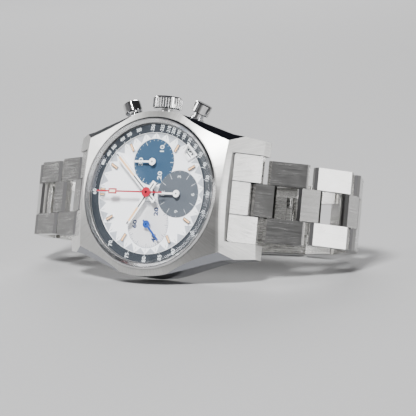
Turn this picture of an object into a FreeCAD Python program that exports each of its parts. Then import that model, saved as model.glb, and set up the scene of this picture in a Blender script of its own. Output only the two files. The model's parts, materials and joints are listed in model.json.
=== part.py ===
import FreeCAD, Part
import math
import os

from FreeCAD import Vector as V

# Chronograph wristwatch with a ladder bracelet, in millimetres.
# Frame: +X to 6 o'clock, +Y out of the case back, +Z to 3 o'clock (crown). The dial faces -Y.
# The origin is on the case axis, in the outer face of the case back.

# ---- driving dimensions: case ----
DIAL_Y = -8.4               # face of the dial
CASE_HALF_WIDTH = 18.4      # at the crown
CREASE_X, CREASE_Z = 18.05, 13.87
LUG_X, LUG_Z = 24.07, 12.99
CREASE_DEPTH, LUG_DEPTH = 1.3, 7.1
FLANK_ARC_X, FLANK_ARC_Z = 8.0, 17.13
FACET_RADIUS = 65.0         # plan radius of the slightly bowed end facets
DOME_SLOPE = 0.336          # fall of the brushed top per mm of radius
BEZEL_R, BEZEL_BORE_R = 17.1, 15.75
BEZEL_LIP_DEPTH, BEZEL_LIP_W = -1.35, 0.2     # the bezel is dished: its narrow lip stands above a sloping wall
UNDERSIDE, LUG_UNDERSIDE, BACK_FACE = 7.2, 9.3, 8.4
NOTCH_X, NOTCH_HALF_Z = 19.0, 9.78
CASE_TOP = -0.6             # edge of the brushed top at the bezel, in front of the dial
DIAL_LEDGE_R, MOVEMENT_BORE_R = 14.9, 14.4
BACK_R, BACK_BORE_R, BACK_CRYSTAL_R = 17.0, 15.25, 12.88
CRYSTAL_R = 15.6
SPRING_BAR_X, SPRING_BAR_DEPTH, SPRING_BAR_R = 20.6, 6.4, 0.5

# ---- driving dimensions: dial and hands ----
DIAL_R, TRACK_R = 15.5, 13.54
COUNTER_R, COUNTER_DISTANCE, COUNTER_DEPTH = 5.27, 6.96, 0.12
MINUTE_ANGLE, HOUR_ANGLE, SECONDS_ANGLE = 43.6, -56.4, 226.0
DATE_ANGLE, DATE_INNER_R, DATE_OUTER_R = 135.0, 11.6, 14.1
DATE_HALF_INNER, DATE_HALF_OUTER, DATE_WALL = 1.25, 1.85, 0.35
MARKER_INNER_R, MARKER_OUTER_R, MARKER_HALF_W, MARKER_T = 10.65, 12.55, 0.34, 0.35
HOUR_HAND_DEPTH, MINUTE_HAND_DEPTH, CHRONO_HAND_DEPTH = -1.3, -1.72, -2.12
HAND_T, CHRONO_HAND_T = 0.16, 0.14
COUNTER_HAND_TOP, COUNTER_HAND_BOTTOM = -0.75, -0.6

# ---- driving dimensions: crown and pushers ----
STEM_DEPTH, STEM_R, STEM_BORE_R = 3.35, 0.5, 0.56
CROWN_R, CROWN_Z0, CROWN_Z1, CROWN_FLUTES, FLUTE_R = 3.25, 19.2, 22.0, 34, 0.2
CROWN_TUBE_R = 1.2
PUSHER_ANGLE, PUSHER_R, PUSHER_CAP0, PUSHER_CAP1 = 25.0, 2.0, 20.3, 22.75
PUSHER_STEM_R, PUSHER_TUBE_R = 1.22, 1.6

# ---- driving dimensions: bracelet ----
LINK_HALF_T = 1.25
OUTER_SPACING, RUNG_SPACING = 6.8, 3.3
OUTER_EXT, RUNG_EXT = 1.15, 1.05
RUNG_HALF_W, BLOCK_INNER_Z = 3.55, 3.66
OUTER_HALF_W = [8.9, 8.55, 8.3, 8.1, 8.0, 8.0]
PIN_R, PIN_HOLE_R = 0.5, 0.56
HINGE_X, HINGE_DEPTH = 22.55, 7.3
# heading of each piece away from the case, rung and outer pair in turn, in degrees
SIX_HEADINGS = [38, 34, 44, 50, 85, 112, 124, 136, 150, 166]
TWELVE_HEADINGS = [38, 28, 28, 27, 45, 75, 103, 128, 143, 157, 165, 172]

nodes = {}


def at(depth):
    """Y of a plane that lies this far behind the face of the dial."""
    return DIAL_Y + depth


def add(name, *solids):
    nodes[name] = solids[0] if len(solids) == 1 else Part.makeCompound(list(solids))


def disc(radius, depth0, depth1, x=0.0, z=0.0):
    return Part.makeCylinder(radius, depth1 - depth0, V(x, at(depth0), z), V(0, 1, 0))


def ring(outer, inner, depth0, depth1, x=0.0, z=0.0):
    return disc(outer, depth0, depth1, x, z).cut(disc(inner, depth0 - 1, depth1 + 1, x, z))


def lathe(profile):
    """Turns a closed list of (radius, depth) about the case axis."""
    points = [V(r, at(d), 0) for r, d in profile]
    return Part.Face(Part.makePolygon(points + points[:1])).revolve(V(), V(0, 1, 0), 360)


def plate(outline, depth0, depth1):
    """Extrudes a closed list of (x, z) through the watch."""
    points = [V(x, at(depth0), z) for x, z in outline]
    return Part.Face(Part.makePolygon(points + points[:1])).extrude(V(0, depth1 - depth0, 0))


def profile(outline, z0, z1):
    """Extrudes a closed list of (x, depth) across the watch."""
    points = [V(x, at(d), z0) for x, d in outline]
    return Part.Face(Part.makePolygon(points + points[:1])).extrude(V(0, 0, z1 - z0))


def rod(radius, x, depth, z0, z1):
    return Part.makeCylinder(radius, z1 - z0, V(x, at(depth), z0), V(0, 0, 1))


def box(x0, x1, depth0, depth1, z0, z1):
    return Part.makeBox(x1 - x0, depth1 - depth0, z1 - z0, V(x0, at(depth0), z0))


def radial(radius, r0, r1, angle):
    """A rod along a ray from the case axis at stem height, this many degrees from +Z towards +X."""
    direction = V(math.sin(math.radians(angle)), 0, math.cos(math.radians(angle)))
    return Part.makeCylinder(radius, r1 - r0, direction * r0 + V(0, at(STEM_DEPTH), 0), direction)


def clock(solid, angle, x=0.0, z=0.0):
    """Turns a solid clockwise on the dial about the axis through (x, z)."""
    turned = solid.copy()
    turned.rotate(V(x, 0, z), V(0, 1, 0), angle)
    return turned


def mirrored(solid):
    """The same solid on the 12 o'clock side."""
    return solid.mirror(V(), V(1, 0, 0))


def cut_all(solid, tools):
    for tool in tools:
        solid = solid.cut(tool)
    return solid


def fuse_all(solids):
    return solids[0].multiFuse(solids[1:]).removeSplitter()


def edges_across(solid, x, length):
    """Edges in the plane at x that run through the watch for more than this length."""
    return [e for e in solid.Edges if abs(e.BoundBox.XMax - x) < 0.01 and e.BoundBox.YLength > length]


def both_sides(inner, outer):
    """The two spans along Z from inner to outer, either side of the middle."""
    return [(-outer, -inner), (inner, outer)]


# ---- case ----
def case_outline(depth0, depth1):
    """Prism with bowed flanks at 3 and 9 o'clock and straight tapers to the lugs."""
    y = at(depth0)
    right = [V(FLANK_ARC_X, y, FLANK_ARC_Z), V(CREASE_X, y, CREASE_Z), V(LUG_X, y, LUG_Z),
             V(LUG_X, y, -LUG_Z), V(CREASE_X, y, -CREASE_Z), V(FLANK_ARC_X, y, -FLANK_ARC_Z)]
    left = [V(-p.x, y, p.z) for p in reversed(right)]
    edges = [Part.LineSegment(a, b).toShape() for a, b in zip(right, right[1:])]
    edges.append(Part.Arc(right[-1], V(0, y, -CASE_HALF_WIDTH), left[0]).toShape())
    edges += [Part.LineSegment(a, b).toShape() for a, b in zip(left, left[1:])]
    edges.append(Part.Arc(left[-1], V(0, y, CASE_HALF_WIDTH), right[0]).toShape())
    return Part.Face(Part.Wire(edges)).extrude(V(0, depth1 - depth0, 0))


def facet_cone(side):
    """Large cone whose skin is the bowed end facet on this side (+1 for 6 o'clock)."""
    slope = (LUG_DEPTH - CREASE_DEPTH) / (LUG_X - CREASE_X)
    # the bow moves the middle of the facet out, so its corners pass through the crease corners
    bow = FACET_RADIUS - math.sqrt(FACET_RADIUS ** 2 - CREASE_Z ** 2)
    centre_x = side * (CREASE_X + bow - FACET_RADIUS)
    depth0, depth1 = -4.0, 12.0
    r0 = FACET_RADIUS + (depth0 - CREASE_DEPTH) / slope
    r1 = FACET_RADIUS + (depth1 - CREASE_DEPTH) / slope
    return Part.makeCone(r0, r1, depth1 - depth0, V(centre_x, at(depth0), 0), V(0, 1, 0))


def flank_bevel():
    """Block above the polished bevel that widens from the crown flank to the 6 o'clock corner."""
    start = V(6.0, at(-0.3), 17.5)
    along = V(12.05, 2.9, -3.63).normalize()
    inward = V(0, -1, -1).normalize()
    face_up = inward.cross(along).normalize()
    across = along.cross(face_up)
    corners = [start + along * a + across * c for a, c in ((-30, -20), (60, -20), (60, 20), (-30, 20))]
    if face_up.y > 0:
        face_up = face_up * -1
    return Part.Face(Part.makePolygon(corners + corners[:1])).extrude(face_up * 20)


def make_case():
    blank = case_outline(CASE_TOP - 0.3, LUG_UNDERSIDE)
    rim = 30.0
    rim_depth = CASE_TOP + (rim - BEZEL_R) * DOME_SLOPE
    dome = lathe([(0, CASE_TOP), (BEZEL_R, CASE_TOP), (rim, rim_depth), (rim, 12), (0, 12)])
    case = blank.common(dome).common(facet_cone(1)).common(facet_cone(-1))
    under = profile([(-21, LUG_UNDERSIDE), (-16.5, UNDERSIDE), (16.5, UNDERSIDE), (21, LUG_UNDERSIDE),
                     (21, 13), (-21, 13)], -25, 25)
    case = case.cut(under)
    wedge = flank_bevel()
    for flip_x in (False, True):
        side = mirrored(wedge) if flip_x else wedge
        case = case.cut(side).cut(side.mirror(V(), V(0, 0, 1)))
    case = cut_all(case, [disc(BEZEL_BORE_R, -3, 0.45), disc(DIAL_LEDGE_R, 0.4, 1.15),
                          disc(MOVEMENT_BORE_R, 1.1, 6.65), disc(BACK_BORE_R, 6.6, 9),
                          disc(BACK_R + 0.02, UNDERSIDE, 9)])
    notch = box(NOTCH_X, 30, -3, 14, -NOTCH_HALF_Z, NOTCH_HALF_Z)
    notch = notch.makeFillet(0.6, edges_across(notch, NOTCH_X, 5))
    bars = [rod(SPRING_BAR_R, x, SPRING_BAR_DEPTH, -11.4, 11.4) for x in (-SPRING_BAR_X, SPRING_BAR_X)]
    bores = [rod(CROWN_TUBE_R, 0, STEM_DEPTH, 10, 25)]
    bores += [radial(PUSHER_TUBE_R, 12, 25, a) for a in (PUSHER_ANGLE, -PUSHER_ANGLE)]
    return cut_all(case, [notch, mirrored(notch)] + bars + bores)


def make_bezel():
    outer, inner = BEZEL_R - 0.12, BEZEL_BORE_R + 0.03
    lip_r = outer - 0.35
    return lathe([(outer, CASE_TOP), (outer, CASE_TOP - 0.4), (lip_r, BEZEL_LIP_DEPTH),
                  (lip_r - BEZEL_LIP_W, BEZEL_LIP_DEPTH), (inner, CASE_TOP - 0.1), (inner, CASE_TOP)])


def make_crystal():
    outside = [(CRYSTAL_R, -0.25), (CRYSTAL_R, -2.5), (15.2, -2.75), (12.5, -3.35), (9, -3.82), (5, -4.12),
               (0, -4.2)]
    inside = [(0, -3.2), (5, -3.12), (9, -2.9), (12.5, -2.6), (14.2, -2.35), (14.5, -2.1), (14.5, -0.25)]
    return lathe(outside + inside)


def make_case_back():
    lip_r, ledge_r, window_r = 14.9, 14.2, 12.0
    seat_r = BACK_CRYSTAL_R + 0.02
    back = lathe([(window_r, 7.0), (ledge_r, 7.0), (ledge_r, 6.75), (lip_r, 6.75), (lip_r, UNDERSIDE),
                  (BACK_R, UNDERSIDE), (BACK_R, 7.9), (BACK_R - 0.5, BACK_FACE), (seat_r, BACK_FACE),
                  (seat_r, 7.6), (window_r, 7.6)])
    notches = [clock(box(15.9, 17.5, 7.8, 9, -0.9, 0.9), 60 * i) for i in range(6)]
    return cut_all(back, notches)


add("case_middle", make_case())
add("bezel", make_bezel())
add("crystal", make_crystal())
add("gaskets", ring(BEZEL_BORE_R, CRYSTAL_R, -0.55, -0.25), ring(BACK_BORE_R, 14.95, 6.72, 7.15))
add("case_back", make_case_back())
add("back_crystal", disc(BACK_CRYSTAL_R, 7.62, BACK_FACE))


# ---- dial ----
COUNTERS = {"minute": (0, COUNTER_DISTANCE), "hour": (COUNTER_DISTANCE, 0), "seconds": (0, -COUNTER_DISTANCE)}


def polar(radius, angle):
    """(x, z) on the dial, angle in degrees clockwise from 12 o'clock."""
    a = math.radians(angle)
    return -radius * math.cos(a), radius * math.sin(a)


def date_shape(grow, depth0, depth1):
    """Trapezoid at half past four, wider at its outer side."""
    middle = (DATE_INNER_R + DATE_OUTER_R) / 2
    half = (DATE_OUTER_R - DATE_INNER_R) / 2 + grow
    inner, outer = DATE_HALF_INNER + grow, DATE_HALF_OUTER + grow
    shape = plate([(middle - half, -inner), (middle - half, inner), (middle + half, outer),
                   (middle + half, -outer)], depth0, depth1)
    shape.rotate(V(), V(0, 1, 0), DATE_ANGLE - 180)
    return shape


def make_dial():
    dial = disc(DIAL_R, 0, 0.4).cut(disc(1.05, -1, 1))
    for x, z in COUNTERS.values():
        dial = dial.cut(disc(COUNTER_R, -0.5, COUNTER_DEPTH, x, z)).cut(disc(0.5, -1, 1, x, z))
    dial = dial.cut(date_shape(-DATE_WALL, -1, 1))
    marker = box(-MARKER_OUTER_R, -MARKER_INNER_R, -MARKER_T, 0, -MARKER_HALF_W, MARKER_HALF_W)
    markers = [clock(marker, 30 * hour) for hour in (1, 2, 4, 5, 7, 8, 10, 11)]
    markers += [box(-13.2, -11.9, -MARKER_T, 0, z - 0.25, z + 0.25) for z in (-0.6, 0.6)]
    return [dial] + markers


add("dial", *make_dial())
add("tachymeter_ring", ring(DIAL_R, TRACK_R, -0.2, 0).cut(date_shape(0.03, -1, 1)))
add("date_frame", date_shape(0, -0.42, 0).cut(date_shape(-DATE_WALL, -1, 1)))
add("date_ring", ring(14.6, 11.3, 0.55, 0.75))


# ---- hands ----
def hand(length, tail, width, tip_width, hub_r, depth, thickness, pipe_r, pipe_bore, pipe_end):
    """A baton hand pointing to 12 o'clock, with the pipe that carries it."""
    blade = plate([(tail, -width / 2), (tail, width / 2), (-length + 0.8, width / 2), (-length, tip_width / 2),
                   (-length, -tip_width / 2), (-length + 0.8, -width / 2)], depth, depth + thickness)
    body = fuse_all([blade, disc(hub_r, depth, depth + thickness), disc(pipe_r, depth, pipe_end)])
    return body.cut(disc(pipe_bore, depth - 1, pipe_end + 1)) if pipe_bore else body


def counter_hand(length, hub_r, width, pipe_end):
    blade = box(-length, 0, COUNTER_HAND_TOP, COUNTER_HAND_BOTTOM, -width / 2, width / 2)
    hub = disc(hub_r, COUNTER_HAND_TOP - 0.05, COUNTER_HAND_BOTTOM + 0.05)
    return fuse_all([blade, hub, disc(0.25, COUNTER_HAND_TOP - 0.05, pipe_end)])


def moved(solid, x, z):
    shifted = solid.copy()
    shifted.translate(V(x, 0, z))
    return shifted


chrono_length, chrono_tail, block_x0, block_x1, block_half_w = 13.1, 4.1, -9.85, -7.75, 0.6
chrono = hand(chrono_length, chrono_tail, 0.34, 0.2, 1.1, CHRONO_HAND_DEPTH, CHRONO_HAND_T, 0.25, 0, 5.0)
block = box(block_x0, block_x1, CHRONO_HAND_DEPTH, CHRONO_HAND_DEPTH + CHRONO_HAND_T,
            -block_half_w, block_half_w)
add("chronograph_hand", fuse_all([chrono, block]))
minute_hand = hand(12.1, 2.9, 1.1, 0.3, 1.0, MINUTE_HAND_DEPTH, HAND_T, 0.55, 0.31, 4.3)
add("minute_hand", clock(minute_hand, MINUTE_ANGLE))
hour_hand = hand(8.6, 2.9, 1.2, 0.4, 1.25, HOUR_HAND_DEPTH, HAND_T, 0.92, 0.61, 1.6)
add("hour_hand", clock(hour_hand, HOUR_ANGLE))
for counter in ("minute", "hour"):
    add(counter + "_counter_hand", moved(counter_hand(4.6, 0.8, 0.42, 2.25), *COUNTERS[counter]))
seconds_x, seconds_z = COUNTERS["seconds"]
seconds_hand = clock(counter_hand(4.8, 0.85, 0.4, 5.2), SECONDS_ANGLE)
add("small_seconds_hand", moved(seconds_hand, seconds_x, seconds_z))


# ---- movement ----
def gear(teeth, module, depth0, depth1, x, z, phase, bore):
    """Spur wheel whose first tooth points at phase degrees from +X towards +Z."""
    pitch_r = teeth * module / 2
    root, tip = pitch_r - 1.1 * module, pitch_r + 0.8 * module
    outline = []
    for i in range(teeth):
        for radius, turn in ((root, -0.29), (tip, -0.12), (tip, 0.12), (root, 0.29)):
            a = math.radians(phase + 360 * (i + turn) / teeth)
            outline.append((x + radius * math.cos(a), z + radius * math.sin(a)))
    return plate(outline, depth0, depth1).cut(disc(bore, depth0 - 1, depth1 + 1, x, z))


def heading(x0, z0, x1, z1):
    return math.degrees(math.atan2(z1 - z0, x1 - x0))


CENTRE_TEETH, THIRD_LEAVES, CENTRE_MODULE = 64, 8, 0.12
THIRD_TEETH, FOURTH_LEAVES, THIRD_MODULE = 60, 8, 0.115
BARREL_TEETH, CENTRE_LEAVES, BARREL_MODULE = 80, 12, 0.137
centre_to_third = (CENTRE_TEETH + THIRD_LEAVES) * CENTRE_MODULE / 2
third_to_fourth = (THIRD_TEETH + FOURTH_LEAVES) * THIRD_MODULE / 2
third_z = -(COUNTER_DISTANCE ** 2 + centre_to_third ** 2 - third_to_fourth ** 2) / (2 * COUNTER_DISTANCE)
third_x = math.sqrt(centre_to_third ** 2 - third_z ** 2)
barrel_distance = (BARREL_TEETH + CENTRE_LEAVES) * BARREL_MODULE / 2
barrel_turn = math.radians(162.5)
barrel_x, barrel_z = barrel_distance * math.cos(barrel_turn), barrel_distance * math.sin(barrel_turn)

to_third = heading(0, 0, third_x, third_z)
to_fourth = heading(third_x, third_z, seconds_x, seconds_z)
to_barrel = heading(0, 0, barrel_x, barrel_z)
WHEEL_T = 0.2
PINION_R = 0.2


def make_fourth_wheel():
    """Spoked wheel over the pinion that the third wheel drives, on the seconds hand's pipe."""
    top, bottom, hub_half = 3.9, 4.05, 0.15
    pinion = gear(FOURTH_LEAVES, THIRD_MODULE, 3.15, top, seconds_x, seconds_z,
                  to_fourth + 180 + 180 / FOURTH_LEAVES, 0.25)
    spoke = box(seconds_x - 2.5, seconds_x + 2.5, top, bottom, seconds_z - hub_half, seconds_z + hub_half)
    rim = ring(2.9, 2.4, top, bottom, seconds_x, seconds_z)
    hub = disc(0.6, top, bottom, seconds_x, seconds_z)
    wheel = fuse_all([rim, hub, spoke, clock(spoke, 90, seconds_x, seconds_z), pinion])
    return wheel.cut(disc(0.25, 2, 5, seconds_x, seconds_z))


centre_wheel = gear(CENTRE_TEETH, CENTRE_MODULE, 2.6, 2.6 + WHEEL_T, 0, 0, to_third, 0.55)
centre_pinion = gear(CENTRE_LEAVES, BARREL_MODULE, 3.9, 4.2, 0, 0, to_barrel, 0.55)
add("centre_wheel", centre_wheel, centre_pinion)
third_pinion = gear(THIRD_LEAVES, CENTRE_MODULE, 2.5, 3.3, third_x, third_z,
                    to_third + 180 + 180 / THIRD_LEAVES, PINION_R)
third_wheel = gear(THIRD_TEETH, THIRD_MODULE, 3.3, 3.3 + WHEEL_T, third_x, third_z, to_fourth, PINION_R)
add("third_wheel", fuse_all([third_pinion, third_wheel, disc(0.22, 1.3, 5.2, third_x, third_z)]))
add("fourth_wheel", make_fourth_wheel())
drum_teeth = gear(BARREL_TEETH, BARREL_MODULE, 3.9, 4.2, barrel_x, barrel_z,
                  to_barrel + 180 + 180 / BARREL_TEETH, 0.3)
drum = disc(4.9, 3.0, 4.5, barrel_x, barrel_z)
add("mainspring_barrel", fuse_all([drum_teeth, drum, disc(0.45, 1.4, 5.2, barrel_x, barrel_z)]))

balance_x, balance_z, balance_r = 7.9, -5.6, 2.3
balance_arms = box(balance_x - 2.0, balance_x + 2.0, 3.6, 3.85, balance_z - 0.2, balance_z + 0.2)
balance_staff = [disc(0.15, 1.4, 5.2, balance_x, balance_z), disc(0.5, 3.4, 3.6, balance_x, balance_z)]
balance_rim = ring(balance_r, balance_r - 0.5, 3.5, 3.95, balance_x, balance_z)
add("balance_wheel", fuse_all([balance_rim, balance_arms] + balance_staff))

PLATE_R, PLATE_TOP, PLATE_BOTTOM = 13.0, 1.3, 2.3
BRIDGE_R, BRIDGE_TOP, BRIDGE_BOTTOM = 12.6, 4.7, 5.3
pivots = [(third_x, third_z, 0.28), (barrel_x, barrel_z, 0.5), (balance_x, balance_z, 0.22)]
counter_pivots = [(x, z, 0.31) for x, z in COUNTERS.values()]
pillars = [polar(11.6, a) for a in (150, 240, 285, 330)]


def make_bridges():
    """Three-quarter bridge on four pillars, with a cock of its own over the balance wheel."""
    cock_half, cock_top = 0.6, BRIDGE_TOP + 0.05
    bridge = fuse_all([disc(BRIDGE_R, BRIDGE_TOP, BRIDGE_BOTTOM)]
                      + [disc(0.8, PLATE_BOTTOM, BRIDGE_TOP + 0.1, x, z) for x, z in pillars])
    bridge = cut_all(bridge, [disc(0.31, 4, 6), disc(balance_r + 0.9, 4, 6, balance_x, balance_z)])
    bridge = cut_all(bridge, [disc(r, 4, 6, x, z) for x, z, r in pivots + counter_pivots[2:]])
    bridge = cut_all(bridge, [disc(0.35, 2, 6, x, z) for x, z in pillars])
    bridge = bridge.cut(box(balance_x - 3.7, balance_x - 2.0, 4.6, 5.4, balance_z - cock_half - 0.05,
                            balance_z + cock_half + 0.05))
    cock = fuse_all([box(balance_x - 3.65, balance_x + 0.6, cock_top, BRIDGE_BOTTOM,
                         balance_z - cock_half, balance_z + cock_half),
                     disc(0.8, cock_top, BRIDGE_BOTTOM, balance_x, balance_z)])
    return [bridge, cock.cut(disc(0.22, 4, 6, balance_x, balance_z))]


def make_screw(x, z):
    screw = fuse_all([disc(0.33, 2.6, 5.4, x, z), disc(0.7, BRIDGE_BOTTOM, 5.5, x, z)])
    return screw.cut(box(x - 0.8, x + 0.8, 5.42, 6, z - 0.08, z + 0.08))


def make_rotor():
    weight = ring(12.6, 10.6, 5.75, 6.6)
    half = disc(11.0, 5.75, 6.05).fuse(weight).common(box(-13, 13, 5, 7, -13, 0))
    return fuse_all([half, disc(1.6, 5.6, 6.2)]).cut(disc(0.65, 5, 7))


holder = ring(14.35, PLATE_R + 0.03, 1.2, 6.6).cut(rod(0.75, 0, STEM_DEPTH, 10, 16))
add("movement_holder", cut_all(holder, [radial(1.45, 10, 16, a) for a in (PUSHER_ANGLE, -PUSHER_ANGLE)]))
main_plate = disc(PLATE_R, PLATE_TOP, PLATE_BOTTOM).cut(disc(0.98, 1, 3))
add("main_plate", cut_all(main_plate, [disc(r, 1, 3, x, z) for x, z, r in pivots + counter_pivots]))
add("movement_bridges", *make_bridges())
add("bridge_screws", *[make_screw(x, z) for x, z in pillars])
add("winding_rotor", make_rotor())
add("rotor_post", fuse_all([disc(0.58, 5.3, 6.3), disc(1.3, 6.3, 6.5)]).cut(disc(0.3, 4, 5.6)))


# ---- crown and pushers ----
def rims(solid):
    return [e for e in solid.Edges if isinstance(e.Curve, Part.Circle)]


def make_crown():
    crown = rod(CROWN_R, 0, STEM_DEPTH, CROWN_Z0, CROWN_Z1)
    crown = crown.makeChamfer(0.3, rims(crown))
    flute_centre_r = CROWN_R + 0.08
    for i in range(CROWN_FLUTES):
        a = 2 * math.pi * i / CROWN_FLUTES
        x, depth = flute_centre_r * math.cos(a), STEM_DEPTH + flute_centre_r * math.sin(a)
        crown = crown.cut(rod(FLUTE_R, x, depth, CROWN_Z0 - 1, CROWN_Z1 - 0.45))
    tube_room = rod(CROWN_TUBE_R + 0.1, 0, STEM_DEPTH, CROWN_Z0 - 1, 20.4)
    return crown.cut(tube_room).cut(rod(STEM_R, 0, STEM_DEPTH, 20, 21.2))


def make_pusher(angle):
    cap = radial(PUSHER_R, PUSHER_CAP0, PUSHER_CAP1, angle)
    cap = cap.makeChamfer(0.22, rims(cap))
    return fuse_all([cap, radial(PUSHER_STEM_R, 14.9, PUSHER_CAP0 + 0.5, angle)])


groove_z, groove_width, groove_r = 9.6, 0.7, 0.3
groove = rod(0.8, 0, STEM_DEPTH, groove_z, groove_z + groove_width).cut(rod(groove_r, 0, STEM_DEPTH, 7, 12))
add("crown", make_crown())
add("winding_stem", rod(STEM_R, 0, STEM_DEPTH, 7.4, 21.2).cut(groove))
lever_x, lever_z, lever_top, lever_bottom = 4.2, groove_z + groove_width / 2, 2.45, 2.65
add("setting_lever", fuse_all([box(0, lever_x, lever_top, lever_bottom, lever_z - 0.2, lever_z + 0.2),
                               disc(0.2, lever_top, 2.98, 0, lever_z),
                               disc(0.6, lever_top, lever_bottom, lever_x, lever_z)]))
add("pusher_start", make_pusher(-PUSHER_ANGLE))
add("pusher_reset", make_pusher(PUSHER_ANGLE))
tubes = [rod(CROWN_TUBE_R, 0, STEM_DEPTH, 16.2, 20.1).cut(rod(STEM_BORE_R, 0, STEM_DEPTH, 10, 25))]
tubes += [radial(PUSHER_TUBE_R, 15.8, 19.3, a).cut(radial(PUSHER_STEM_R + 0.06, 10, 25, a))
          for a in (-PUSHER_ANGLE, PUSHER_ANGLE)]
add("case_tubes", *tubes)


# ---- bracelet ----
def chain(headings):
    """Hinge points (x, depth) from the end link to the clasp."""
    points = [(HINGE_X, HINGE_DEPTH)]
    for i, angle in enumerate(headings):
        step = OUTER_SPACING if i % 2 else RUNG_SPACING
        a = math.radians(angle)
        x, depth = points[-1]
        points.append((x + step * math.cos(a), depth + step * math.sin(a)))
    return points


def link_body(spacing, ext, z0, z1):
    """A link along +X from its first hinge, with polished bevels across both ends of its top."""
    t, top_bevel, under_bevel, end_low = LINK_HALF_T, 0.62, 0.8, 0.45
    start, end = -ext, spacing + ext
    outline = [(start + top_bevel, -t), (end - top_bevel, -t), (end, -t + top_bevel), (end, end_low),
               (end - under_bevel, t), (start + under_bevel, t), (start, end_low), (start, -t + top_bevel)]
    points = [V(x, y, z0) for x, y in outline]
    return Part.Face(Part.makePolygon(points + points[:1])).extrude(V(0, 0, z1 - z0))


def pin_at(spacing, radius, z0, z1):
    return Part.makeCylinder(radius, z1 - z0, V(spacing, 0, z0), V(0, 0, 1))


def placed(solid, start, angle):
    """Puts a link body on its first hinge with its heading in degrees from +X towards +Y."""
    copy = solid.copy()
    copy.rotate(V(), V(0, 0, 1), angle)
    copy.translate(V(start[0], at(start[1]), 0))
    return copy


def make_rung():
    rung = link_body(RUNG_SPACING, RUNG_EXT, -RUNG_HALF_W, RUNG_HALF_W)
    return cut_all(rung, [pin_at(s, PIN_HOLE_R, -9, 9) for s in (0, RUNG_SPACING)])


def make_outer_pair(half_w, through_last):
    """Two side blocks and their two pins; the last pin may stop at the blocks' inner faces."""
    spans = both_sides(BLOCK_INNER_Z, half_w)
    pieces = []
    for z0, z1 in spans:
        block = link_body(OUTER_SPACING, OUTER_EXT, z0, z1)
        pieces.append(cut_all(block, [pin_at(s, PIN_R, -10, 10) for s in (0, OUTER_SPACING)]))
    pieces.append(pin_at(0, PIN_R, -half_w, half_w))
    if through_last:
        pieces.append(pin_at(OUTER_SPACING, PIN_R, -half_w, half_w))
    else:
        pieces += [pin_at(OUTER_SPACING, PIN_R, z0, z1) for z0, z1 in spans]
    return pieces


def add_bracelet(side_name, headings, flip, closed_by_pin):
    points = chain(headings)
    for i, angle in enumerate(headings):
        number = i // 2 + 1
        if i % 2:
            last = i == len(headings) - 1
            pieces = make_outer_pair(OUTER_HALF_W[number - 1], closed_by_pin or not last)
            name = "outer_links_%s_%d" % (side_name, number)
        else:
            pieces = [make_rung()]
            name = "rung_%s_%d" % (side_name, number)
        pieces = [placed(p, points[i], angle) for p in pieces]
        add(name, *[mirrored(p) if flip else p for p in pieces])
    return points


six_points = add_bracelet("6", SIX_HEADINGS, False, False)
twelve_points = add_bracelet("12", TWELVE_HEADINGS, True, True)
clasp_right_x, clasp_right_depth = six_points[-1]
clasp_left_x, clasp_left_depth = -twelve_points[-1][0], twelve_points[-1][1]


def make_end_link():
    """Side blocks with a shorter middle block, flush with the end facet, and the first hinge pin."""
    slope = math.atan2(LUG_DEPTH - CREASE_DEPTH, LUG_X - CREASE_X)
    along_x, along_depth = math.cos(slope), math.sin(slope)

    def spot(out, along):
        """A point this far out from the hinge and this far along the facet."""
        return (HINGE_X + out * along_depth + along * along_x,
                HINGE_DEPTH - out * along_x + along * along_depth)

    top_out, end_out, low_out = spot(1.2, 0.5), spot(0.7, 1.1), spot(-1.0, 0.8)
    inner_x = NOTCH_X + 0.12
    rise = along_depth / along_x
    top_in = (inner_x, top_out[1] - (top_out[0] - inner_x) * rise)
    outline = [top_in, top_out, end_out, low_out, (low_out[0] - 1.2, low_out[1] - 0.1), (inner_x, 7.9)]
    half = NOTCH_HALF_Z - 0.1
    body = profile(outline, -half, half)
    body = body.makeFillet(0.5, edges_across(body, inner_x, 3))
    knuckle_room = rod(1.45, HINGE_X, HINGE_DEPTH, -BLOCK_INNER_Z, BLOCK_INNER_Z)
    beyond = box(HINGE_X, 30, 0, 14, -BLOCK_INNER_Z, BLOCK_INNER_Z)
    over = box(HINGE_X - 0.5, 30, 0, HINGE_DEPTH, -BLOCK_INNER_Z, BLOCK_INNER_Z)
    body = cut_all(body, [knuckle_room, beyond, over, rod(PIN_R, HINGE_X, HINGE_DEPTH, -12, 12),
                          rod(SPRING_BAR_R, SPRING_BAR_X, SPRING_BAR_DEPTH, -12, 12)])
    seam_half, seam_depth = 0.06, 0.35
    below = profile([(inner_x - 1, top_in[1] + seam_depth - rise), (top_out[0], top_out[1] + seam_depth),
                     (30, 14), (inner_x - 1, 14)], -12, 12)
    for z in (-BLOCK_INNER_Z, BLOCK_INNER_Z):
        body = body.cut(box(NOTCH_X, 23.2, 0, 6.8, z - seam_half, z + seam_half).cut(below))
    return [body, rod(PIN_R, HINGE_X, HINGE_DEPTH, -half, half)]


end_link = make_end_link()
add("end_links", *(end_link + [mirrored(s) for s in end_link]))
add("spring_bars", *[rod(SPRING_BAR_R, x, SPRING_BAR_DEPTH, -11.3, 11.3)
                     for x in (-SPRING_BAR_X, SPRING_BAR_X)])


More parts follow.
